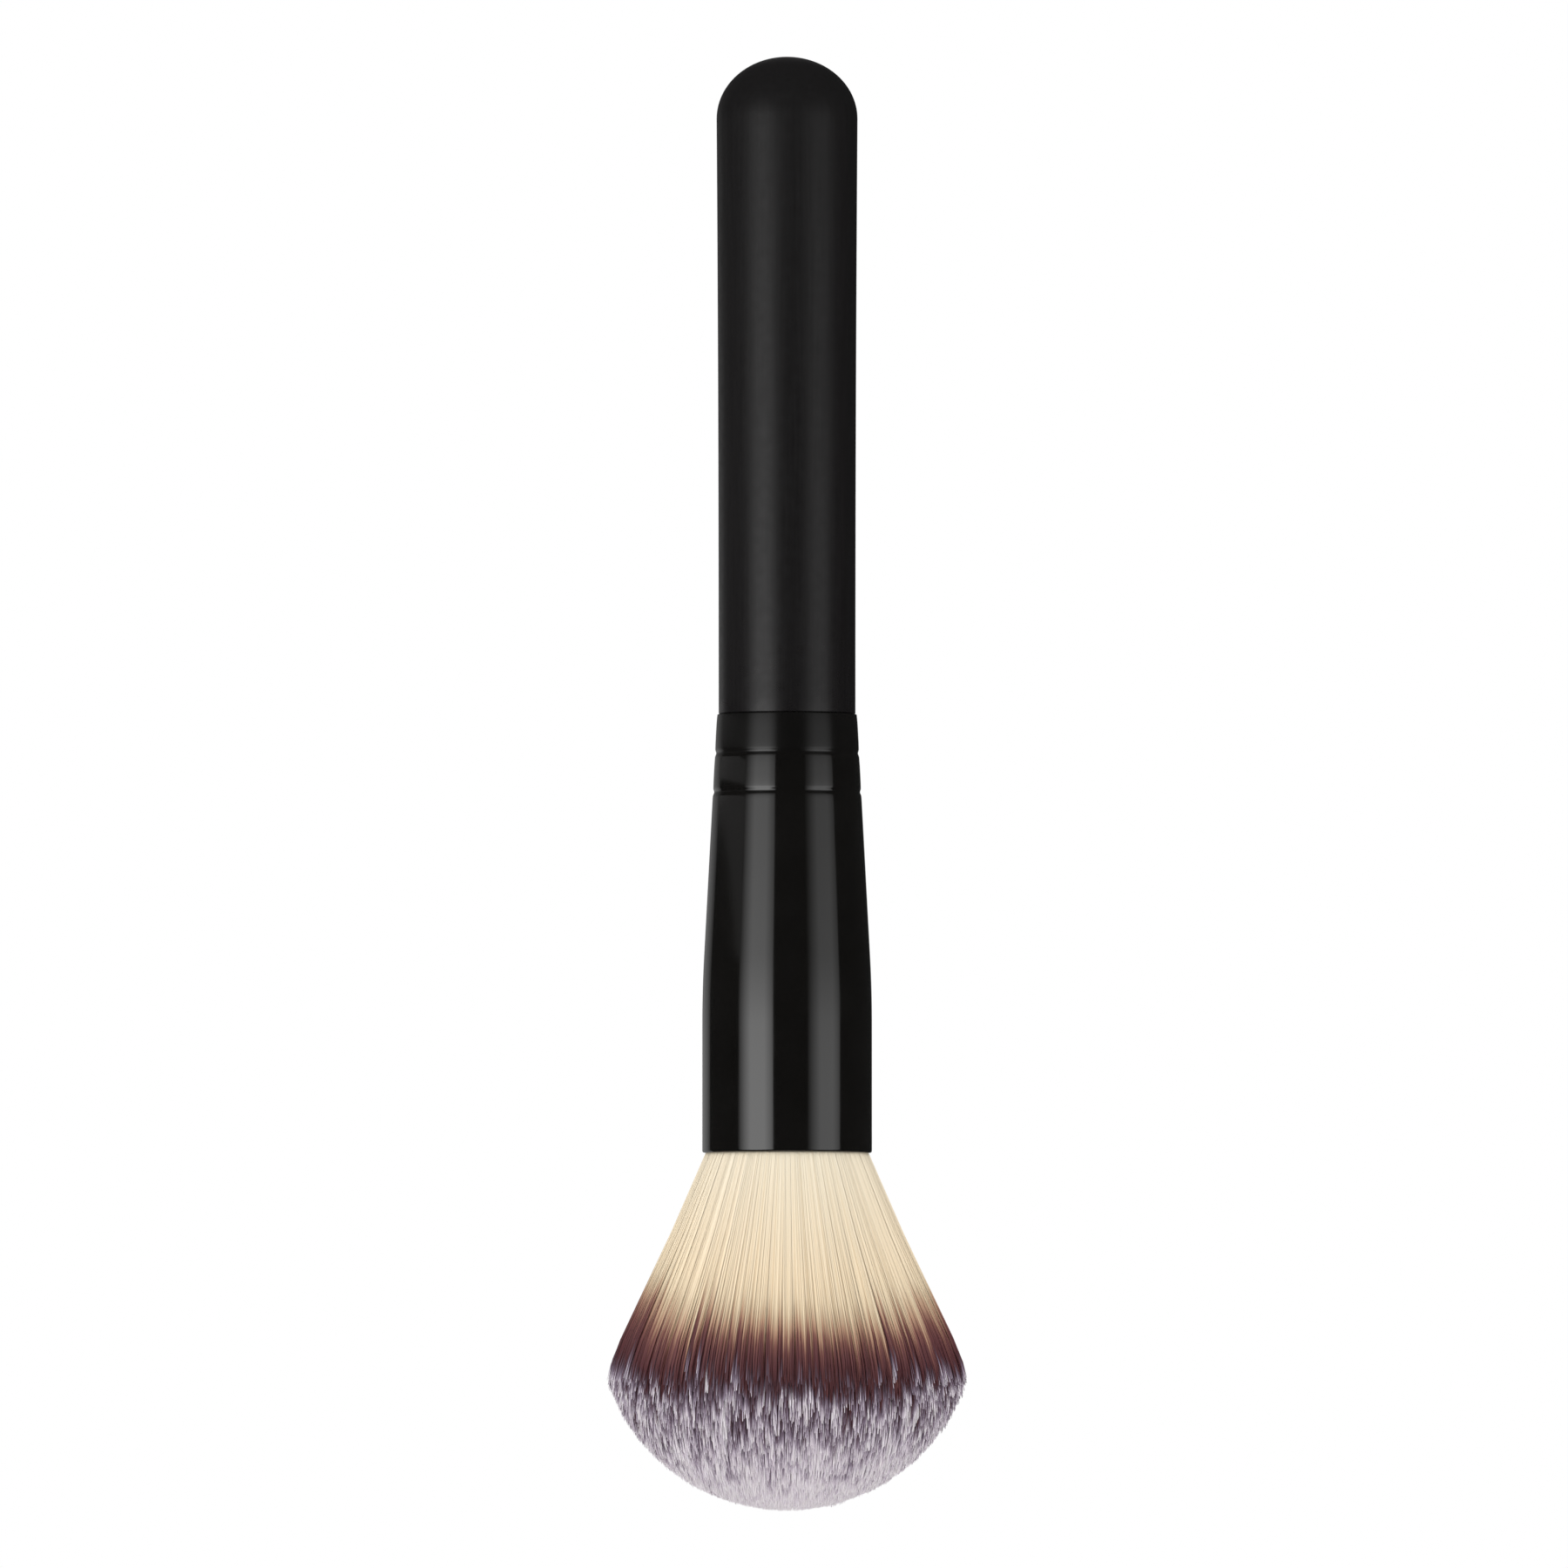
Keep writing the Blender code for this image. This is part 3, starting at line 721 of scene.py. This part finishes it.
# %% Turn a distance from the tip into a dye length
STRIPPED_LENGTH = 2.5 * MM
MIDDLE_DARKENING = 0.04
RIM_DARKENING = 1.16
BAND_TOP = 8.0 * MM
DYE_REACH = 8.3 * MM
DYE_SIDE_REACH = 2.1 * MM
INNER_REACH = 2.5 * MM
DIP_TILT = 0.45 * MM
RIM_DYE_SHIFT = 1.6 * MM
RIM_SHARES = (0.92, 0.97)
OUTER_DYE_SHIFT = 1.75 * MM
OUTER_POWER = 4
SIDE_DYE_SHARE = 2 / 3
BAND_FOLLOW = 0.5


def along_dye(numbers, from_tip):
    """Dye lengths for distances from the tips of these fibres."""
    sideways = np.cos(2 * np.arctan2(fibre_places[numbers, 1], fibre_places[numbers, 0]))
    frontal = (1 - sideways) / 2
    share = fibre_share[numbers]
    tip_dye = RIM_DYE_SHIFT * np.interp(share, RIM_SHARES, (0, 1)) * frontal
    unevenly = SIDE_DYE_SHARE + (1 - SIDE_DYE_SHARE) * frontal
    tip_dye += OUTER_DYE_SHIFT * share**OUTER_POWER * unevenly
    darkening = MIDDLE_DARKENING + RIM_DARKENING * share**2
    band_start = BAND_FOLLOW * tip_dye + STRIPPED_LENGTH * darkening
    reach = DYE_REACH + DYE_SIDE_REACH * sideways * share**2 + INNER_REACH * (1 - share**2)
    reach -= DIP_TILT * fibre_places[numbers, 0]
    tip_stretch = (band_start - tip_dye) / STRIPPED_LENGTH
    band_stretch = (BAND_TOP - band_start) / (reach - STRIPPED_LENGTH)
    stripped = np.minimum(from_tip, STRIPPED_LENGTH)
    banded = np.clip(from_tip - STRIPPED_LENGTH, 0, (reach - STRIPPED_LENGTH)[:, None])
    undyed = np.maximum(from_tip - reach[:, None], 0)
    dyed = tip_dye[:, None] + stripped * tip_stretch[:, None] + banded * band_stretch[:, None]
    return dyed + undyed


# %% [markdown]
# The map's corners.
# Along a fibre V follows the dye length and U is its tone, a little wider than a line so that
# every face has some area on the map. The fibre's two end faces are level, so one of their
# corners is moved along V by END_FACE_OFFSET for the same reason. DYE_MARGIN keeps V above
# zero where a fibre's dye is shifted past its tip. Inside the head the shifts count for less.

# %% Write the map's corners
DYE_SPAN = 68 * MM
DYE_MARGIN = 5 * MM
INNER_DYE_SHARE = 0.35
TONE_WIDTH = 0.02
END_FACE_OFFSET = 0.004


def map_of(numbers, points):
    """U and V for every corner of these fibres' faces."""
    tip_height = points[:, :, 2].min(axis=1)
    lean = np.sqrt(1 + (FAN_SLOPE * fibre_share[numbers]) ** 2)
    from_tip = (points[:, :, 2] - tip_height[:, None]) * lean[:, None]
    unevenness = INNER_DYE_SHARE + (1 - INNER_DYE_SHARE) * fibre_share[numbers] ** 2
    shift = dye_shift[numbers] * unevenness
    v = (along_dye(numbers, from_tip) + DYE_MARGIN + shift[:, None]) / DYE_SPAN
    corners = []
    for face in pattern_faces:
        for corner, vertex in enumerate(face):
            u = tone_of[numbers] + TONE_WIDTH * (corner in (1, 2))
            end_corner = len(face) == FIBRE_SIDES and corner == 0
            corners.append(np.column_stack([u, v[:, vertex] - END_FACE_OFFSET * end_corner]))
    return np.stack(corners, axis=1)


# %% [markdown]
# The light on the fibres.
# A real fibre lets light through to its neighbours, so the eye sees the head as one soft body
# and not as thousands of hard little rods. The normals carry this: at each corner of a face
# the face's own normal is leant well towards the head's outward direction, which points
# sideways along the fan and away from the dome's centre at the tips.

# %% Find the head's outward directions
SOFT_TIP_LENGTH = 8 * MM
SHARED_WEIGHT = 2.0
LEAST_LENGTH = 1e-6


def unit(vectors):
    """The same vectors, each one unit long."""
    lengths = np.linalg.norm(vectors, axis=-1, keepdims=True)
    return vectors / np.maximum(lengths, LEAST_LENGTH)


def outward(points):
    """The head's outward direction at every point of these fibres."""
    radius = np.linalg.norm(points[:, :, :2], axis=2)
    share = np.minimum(radius / fan_radius(FERRULE_MOUTH - points[:, :, 2]), 1)
    side = points.copy()
    side[:, :, 2] = radius * FAN_SLOPE * share
    dome_centre = (0, 0, FERRULE_MOUTH - TIP_DEPTH + DOME_RADIUS)
    from_tip = points[:, :, 2] - points[:, :, 2].min(axis=1)[:, None]
    at_tip = np.clip(1 - from_tip / SOFT_TIP_LENGTH, 0, 1)[:, :, None]
    return unit(unit(side) * (1 - at_tip) + unit(points - dome_centre) * at_tip)


def soften_light(mesh, points):
    """Give each corner a normal between its face's own and the head's outward one."""
    face_normals = np.empty(3 * len(mesh.polygons), dtype=np.float32)
    mesh.polygons.foreach_get("normal", face_normals)
    corners_of_face = np.empty(len(mesh.polygons), dtype=np.int32)
    mesh.polygons.foreach_get("loop_total", corners_of_face)
    corner_points = np.empty(len(mesh.loops), dtype=np.int32)
    mesh.loops.foreach_get("vertex_index", corner_points)
    own = np.repeat(face_normals.reshape(-1, 3), corners_of_face, axis=0)
    shared = outward(points).reshape(-1, 3)[corner_points]
    mesh.normals_split_custom_set(unit(own + SHARED_WEIGHT * shared).tolist())


# %% [markdown]
# The tufts.
# All fibres in one mesh would be too heavy for the files that this model is exported to, so
# they are built as eight wedges of the head, which touch without a seam.

# %% Build the tufts
TUFT_COUNT = 8
turns = np.arctan2(fibre_places[:, 1], fibre_places[:, 0])
tuft_of = np.floor((turns / (2 * pi) % 1) * TUFT_COUNT).astype(int) % TUFT_COUNT
tufts = []
for tuft_number in range(TUFT_COUNT):
    numbers = np.nonzero(tuft_of == tuft_number)[0]
    points = all_points[numbers]
    first = np.arange(len(numbers)) * len(pattern_points)
    faces = [[(corner + start) for corner in face] for start in first.tolist()
             for face in pattern_faces]
    mesh = bpy.data.meshes.new(f"fibre_tuft_{tuft_number + 1}")
    mesh.from_pydata(points.reshape(-1, 3), [], faces)
    layer = mesh.uv_layers.new(name="OFBake")
    layer.data.foreach_set("uv", map_of(numbers, points).astype(np.float32).ravel())
    mesh.shade_smooth()
    soften_light(mesh, points)
    tuft = bpy.data.objects.new(mesh.name, mesh)
    bpy.context.scene.collection.objects.link(tuft)
    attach(tuft, "root")
    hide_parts("bristles")
    tufts.append(tuft)
print(f"{FIBRE_COUNT} fibres in {TUFT_COUNT} tufts of about {len(tufts[0].data.polygons)} faces")

# %% [markdown]
# The fibre's finish.
# The fibre is drawn polyester: smooth, slightly waxy, with a soft gloss. From the tip inwards
# it is pale pinkish lilac, lilac grey, a dusky purple where the two dyes meet, burgundy, a warm
# brown that fades out, and then cream all the way to the ferrule, where it is palest.

# %% Make the dyed fibre
def dye_place(distance_mm):
    """Place on the ramp of a distance from the tip, in millimetres."""
    return (distance_mm * MM + DYE_MARGIN) / DYE_SPAN


fibre_finish, shader = new_material(
    "dyed_polyester_fibre", Roughness=0.5, IOR=1.5, Specular_IOR_Level=0.2)
tree = fibre_finish.node_tree
dye_map = add_node(tree, "ShaderNodeUVMap", uv_map="OFBake")
axes = add_node(tree, "ShaderNodeSeparateXYZ", {"Vector": dye_map.outputs["UV"]})
dyes = add_node(tree, "ShaderNodeValToRGB", {"Fac": axes.outputs["Y"]}, stops={
    dye_place(0.0): "#fdf8ff",
    dye_place(0.8): "#eae0ee",
    dye_place(1.5): "#a294a9",
    dye_place(2.1): "#7b697b",
    dye_place(2.9): "#5b444e",
    dye_place(3.5): "#5c3338",
    dye_place(5.2): "#6b4042",
    dye_place(6.6): "#85574f",
    dye_place(8.2): "#bf9a80",
    dye_place(9.6): "#d5bd9f",
    dye_place(11.5): "#f0ddbe",
    dye_place(14.5): "#f9e6c7",
    dye_place(40.0): "#f9f3e1",
})
tones = add_node(tree, "ShaderNodeValToRGB", {"Fac": axes.outputs["X"]}, stops={
    0.1: "#fbf9f7", 0.4: "#fdfcfa", 0.6: "#ffffff", 0.8: "#fefcf9"})
mixed = add_node(tree, "ShaderNodeMix", {
    MIX_FACTOR: 1, MIX_COLOUR_A: dyes.outputs["Color"], MIX_COLOUR_B: tones.outputs["Color"]},
    data_type="RGBA", blend_type="MULTIPLY")
tree.links.new(mixed.outputs[MIX_COLOUR_RESULT], shader.inputs["Base Color"])
for tuft in tufts:
    tuft.data.materials.append(fibre_finish)
print(f"{fibre_finish.name}: {len(tree.nodes)} nodes on {len(tufts)} tufts")

# %% [markdown]
# The hidden pieces.
# Nobody sees them until the brush is taken apart, but each has a finish of its own: fibre ends
# soaked in glue, waxed thread wound side by side, amber epoxy with a few clouds in it, and
# milky wood adhesive. The thread needs no relief in its mesh, because its turns are one sine
# wave along the axis, which its material draws as a bump and as painted shade, darker in the
# grooves between the turns.

# %% Make the glue-soaked root
FIBRE_END_MM = 0.12
soaked, shader = new_material("glue_soaked_fibre", Roughness=0.35)
tree = soaked.node_tree
place = add_node(tree, "ShaderNodeTexCoord").outputs["Object"]
bundle = add_node(tree, "ShaderNodeMapping", {"Vector": place, "Scale": (1, 1, GRAIN_STRETCH)})
ends = add_node(tree, "ShaderNodeTexVoronoi", {
    "Vector": bundle.outputs["Vector"], "Scale": per_mm(FIBRE_END_MM)})
tone = add_node(tree, "ShaderNodeValToRGB", {"Fac": ends.outputs["Distance"]},
                stops={0.1: "#dcc9a0", 0.8: "#a88d5c"})
tree.links.new(tone.outputs["Color"], shader.inputs["Base Color"])
root.data.materials.append(soaked)
print(f"{soaked.name}: {len(tree.nodes)} nodes")

# %% Make the waxed thread, with painted shade in the grooves between its turns
THREAD_WIDTH = 0.3 * MM
THREAD_DEPTH = 0.1 * MM
thread, shader = new_material("waxed_cotton_thread", Roughness=0.7)
tree = thread.node_tree
place = add_node(tree, "ShaderNodeTexCoord").outputs["Object"]
height = add_node(tree, "ShaderNodeSeparateXYZ", {"Vector": place}).outputs["Z"]
wound = add_node(tree, "ShaderNodeMath", {0: height, 1: pi / THREAD_WIDTH}, operation="MULTIPLY")
turn_of_thread = add_node(tree, "ShaderNodeMath", {0: wound.outputs["Value"]}, operation="SINE")
crest = add_node(tree, "ShaderNodeMath", {0: turn_of_thread.outputs["Value"]}, operation="ABSOLUTE")
# The colour is painted shade: darker in the grooves between the turns and paler on their crests.
tone = add_node(tree, "ShaderNodeValToRGB", {"Fac": crest.outputs["Value"]},
                stops={0.0: "#8f8674", 0.5: "#d9d2c2"})
tree.links.new(tone.outputs["Color"], shader.inputs["Base Color"])
relief = add_node(tree, "ShaderNodeBump", {
    "Height": crest.outputs["Value"], "Strength": 0.8, "Distance": THREAD_DEPTH})
tree.links.new(relief.outputs["Normal"], shader.inputs["Normal"])
print(f"{thread.name}: {len(tree.nodes)} nodes")


# %% Make the two adhesives
def cured_glue(name, thick, thin, cloud_mm, roughness):
    """A cured adhesive, whose colour drifts between its thick and its thin places."""
    material, glue_shader = new_material(name, Roughness=roughness)
    glue_tree = material.node_tree
    glue_place = add_node(glue_tree, "ShaderNodeTexCoord").outputs["Object"]
    clouds = add_node(glue_tree, "ShaderNodeTexNoise", {
        "Vector": glue_place, "Scale": per_mm(cloud_mm), "Detail": 3})
    glue_tone = add_node(glue_tree, "ShaderNodeValToRGB", {"Fac": clouds.outputs["Fac"]},
                         stops={0.35: thick, 0.65: thin})
    glue_tree.links.new(glue_tone.outputs["Color"], glue_shader.inputs["Base Color"])
    return material


epoxy = cured_glue("amber_epoxy", "#b3975a", "#d3c08f", cloud_mm=2.5, roughness=0.2)
wood_glue = cured_glue("cured_wood_adhesive", "#cfc8b4", "#e2ddcd", cloud_mm=1.5, roughness=0.35)

# %% Dress the hidden nodes
hidden_finishes = {"root_binding": thread, "glue_plug": epoxy, "tenon_glue": wood_glue}
for node_name, material in hidden_finishes.items():
    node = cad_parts[node_name]
    node.data.materials.clear()
    node.data.materials.append(material)
    print(f"{node_name} is now {material.name}")

# %% [markdown]
# The studio.
# A gloss black object shows its surroundings more than its own colour. Photographers stand
# it between two tall softboxes, whose reflections draw the pale strips, and darken the room
# all round, so that everything between the strips stays black. The softboxes hang low, so
# they are brightest near the bristles. All of these are seen by reflections only here. The
# world itself gives the soft light, so that nothing draws a line or a dark patch on the floor.
# The floor is matt white paper, far enough below the tips that its shadow is soft.

# %% Make a pale floor
FLOOR_DROP = 33 * MM
FLOOR_SIZE = 8.0
bpy.ops.object.select_all(action="DESELECT")
bpy.ops.mesh.primitive_plane_add(size=FLOOR_SIZE, location=(0, 0, TIP - FLOOR_DROP))
floor = bpy.context.object
floor.name = "floor"
floor_finish, shader = new_material(
    "matt_white_paper", Roughness=0.9, Specular_IOR_Level=0.1, Base_Color=linear("#f4f3f1"))
floor.data.materials.append(floor_finish)
floor.visible_glossy = False
print(f"floor {1000 * FLOOR_DROP:.0f} mm below the tips")

# %% [markdown]
# Panels for reflections.
# Each panel stands upright half a metre from the brush and faces it. Its material is emission
# alone, and it is hidden from all but reflections, so it adds no light of its own to the brush
# or the floor. A round gloss surface mirrors whatever stands at twice the angle that it turns
# away from the camera, so a panel's azimuth and width give its strip's place and width.

# %% Set up a panel that only reflections see
PANEL_DISTANCE = 0.5
HIDDEN_FROM = ("camera", "diffuse", "transmission", "shadow", "volume_scatter")


def upright_panel(name, azimuth, width, height, middle_z):
    """A panel that faces the brush, at an azimuth in degrees right of the camera's side."""
    bpy.ops.object.select_all(action="DESELECT")
    bpy.ops.mesh.primitive_plane_add(size=1, location=(0, 0, 0))
    panel = bpy.context.object
    panel.name = name
    panel.scale = (width, height, 1)
    outwards = Vector((sin(radians(azimuth)), -cos(radians(azimuth)), 0))
    panel.location = PANEL_DISTANCE * outwards + Vector((0, 0, middle_z))
    panel.rotation_euler = (-outwards).to_track_quat("Z", "Y").to_euler()
    bpy.ops.object.transform_apply(location=True, rotation=True, scale=True)
    return panel


def new_glow(piece):
    """Give a piece a new material of its own name, and return its empty node tree."""
    material = bpy.data.materials.new(piece.name)
    material.use_nodes = True
    material.node_tree.nodes.clear()
    piece.data.materials.append(material)
    return material.node_tree


def only_reflected(piece, glow_tree, strength, colour):
    """Finish a piece's glow, and hide it from everything but reflections."""
    glow = add_node(glow_tree, "ShaderNodeEmission", {"Strength": strength, "Color": colour})
    add_node(glow_tree, "ShaderNodeOutputMaterial", {"Surface": glow.outputs["Emission"]})
    for way in HIDDEN_FROM:
        setattr(piece, f"visible_{way}", False)
    print(f"{piece.name} is seen by reflections only")


# %% [markdown]
# The softboxes.
# Two tall ones in front draw the two strips that the photograph shows, and two weaker ones
# give the back some shape. Each is brightest at and below SOFTBOX_BRIGHT_Z and falls off
# above it, by a factor e every SOFTBOX_FALL, down to a small share at its top. Across its
# width it is dimmer towards its edges, as cloth over a lamp is.

# %% Hang the softboxes
SOFTBOX_HEIGHT = 1.0
SOFTBOX_MIDDLE_Z = -0.02
SOFTBOX_BRIGHT_Z = -0.07
SOFTBOX_FALL = 0.11
SOFTBOX_TOP_SHARE = 0.08


def softbox(name, azimuth, width, strength):
    """A tall panel that glows most near the bristles and dims upwards and to its sides."""
    panel = upright_panel(name, azimuth, width, SOFTBOX_HEIGHT, SOFTBOX_MIDDLE_Z)
    glow_tree = new_glow(panel)
    source = add_node(glow_tree, "ShaderNodeTexCoord")
    place = add_node(glow_tree, "ShaderNodeSeparateXYZ", {"Vector": source.outputs["Object"]})
    above = add_node(glow_tree, "ShaderNodeMath", {
        0: place.outputs["Z"], 1: SOFTBOX_BRIGHT_Z}, operation="SUBTRACT")
    above = add_node(glow_tree, "ShaderNodeMath", {
        0: above.outputs["Value"], 1: 0}, operation="MAXIMUM")
    fall = add_node(glow_tree, "ShaderNodeMath", {
        0: above.outputs["Value"], 1: -1 / SOFTBOX_FALL}, operation="MULTIPLY")
    fall = add_node(glow_tree, "ShaderNodeMath", {0: fall.outputs["Value"]}, operation="EXPONENT")
    level = add_node(glow_tree, "ShaderNodeMapRange", {
        "Value": fall.outputs["Value"], "To Min": SOFTBOX_TOP_SHARE * strength, "To Max": strength})
    across = add_node(glow_tree, "ShaderNodeSeparateXYZ", {"Vector": source.outputs["UV"]})
    evenness = add_node(glow_tree, "ShaderNodeValToRGB", {"Fac": across.outputs["X"]}, stops={
        0.0: "#b4b4b4", 0.25: "#ffffff", 0.62: "#ffffff", 1.0: "#484848"})
    only_reflected(panel, glow_tree, level.outputs["Result"], evenness.outputs["Color"])


softbox("softbox_left", azimuth=-44, width=0.47, strength=2.0)
softbox("softbox_right", azimuth=52, width=0.45, strength=1.0)
softbox("softbox_behind", azimuth=180, width=0.2, strength=1.6)
softbox("softbox_far_left", azimuth=208, width=0.42, strength=0.4)

# %% [markdown]
# The dark room and the grey card.
# A sphere round the whole set keeps the rest of the ferrule nearly black. Its glow is faint
# and not zero, because even a dark room isn't quite black. A low grey card at the far left
# greys the left flank of the ferrule just below its grooves.

# %% Close the dark surround
SURROUND_RADIUS = 0.62
SURROUND_GLOW = 0.02
NEUTRAL = (1, 1, 1, 1)
bpy.ops.object.select_all(action="DESELECT")
bpy.ops.mesh.primitive_uv_sphere_add(
    segments=48, ring_count=24, radius=SURROUND_RADIUS, location=(0, 0, 0))
surround = bpy.context.object
surround.name = "dark_surround"
only_reflected(surround, new_glow(surround), SURROUND_GLOW, NEUTRAL)

# %% Stand the grey card
CARD_AZIMUTH = -99
CARD_WIDTH = 0.577
CARD_HEIGHT = 0.05
CARD_MIDDLE_Z = 0.02
CARD_GLOW = 0.15
card = upright_panel("grey_card", CARD_AZIMUTH, CARD_WIDTH, CARD_HEIGHT, CARD_MIDDLE_Z)
only_reflected(card, new_glow(card), CARD_GLOW, NEUTRAL)

# %% [markdown]
# The light of the room.
# The world lights everything softly from all sides, at about the level where a colour renders
# as it is written, and slightly more from the upper left in front. To the camera and to
# reflections it is plain white at a strength of 1.

# %% Fill the room with soft light
AMBIENT = 1.08
AMBIENT_LEAN = 0.2
BRIGHT_SIDE = (-0.75, -0.6, 0.28)
world = bpy.data.worlds.new("white_studio")
bpy.context.scene.world = world
world.use_nodes = True
tree = world.node_tree
way = add_node(tree, "ShaderNodeTexCoord").outputs["Generated"]
towards_bright = add_node(tree, "ShaderNodeVectorMath", {0: way, 1: BRIGHT_SIDE},
                          operation="DOT_PRODUCT")
soft = add_node(tree, "ShaderNodeMath", {
    0: towards_bright.outputs["Value"], 1: AMBIENT_LEAN, 2: AMBIENT}, operation="MULTIPLY_ADD")
seen = add_node(tree, "ShaderNodeLightPath")
direct = add_node(tree, "ShaderNodeMath", {
    0: seen.outputs["Is Camera Ray"], 1: seen.outputs["Is Glossy Ray"]}, operation="MAXIMUM")
direct = add_node(tree, "ShaderNodeMath", {
    0: direct.outputs["Value"], 1: seen.outputs["Is Transmission Ray"]}, operation="MAXIMUM")
level = add_node(tree, "ShaderNodeMix", {
    MIX_FACTOR: direct.outputs["Value"], MIX_VALUE_A: soft.outputs["Value"], MIX_VALUE_B: 1.0},
    data_type="FLOAT")
background = tree.nodes["Background"]
background.inputs["Color"].default_value = NEUTRAL
tree.links.new(level.outputs[MIX_VALUE_RESULT], background.inputs["Strength"])
print(f"{world.name}: level {AMBIENT}, leaning by {AMBIENT_LEAN}")
